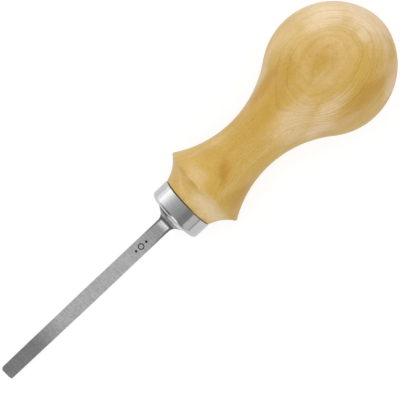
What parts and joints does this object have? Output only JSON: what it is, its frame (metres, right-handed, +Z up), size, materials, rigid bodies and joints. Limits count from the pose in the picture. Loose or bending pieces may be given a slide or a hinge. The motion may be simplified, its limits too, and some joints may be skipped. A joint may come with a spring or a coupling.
{
  "type": "palm carving chisel",
  "caption": "Short palm chisel for wood carving: slim straight steel blade with a forged bolster, a steel ferrule and a turned pear-shaped wooden handle that sits in the palm.",
  "frame": {"origin": "on the surface that the tool lies on, under the middle of its length", "axes": "+X from the cutting edge towards the rounded end of the handle, +Z up, out of the upper flat of the blade, +Y across the blade"},
  "size_m": [0.1606, 0.0408, 0.0408],
  "materials": {
    "blade_steel": "ground across, satin, darker at the bevel",
    "ferrule_steel": "polished, faint turning lines",
    "handle_wood": "pale close-grained hardwood, turned and satin lacquered"
  },
  "bodies": {
    "root": {"blade": "blade_steel", "ferrule": "ferrule_steel", "handle": "handle_wood"}
  },
  "joints": []
}
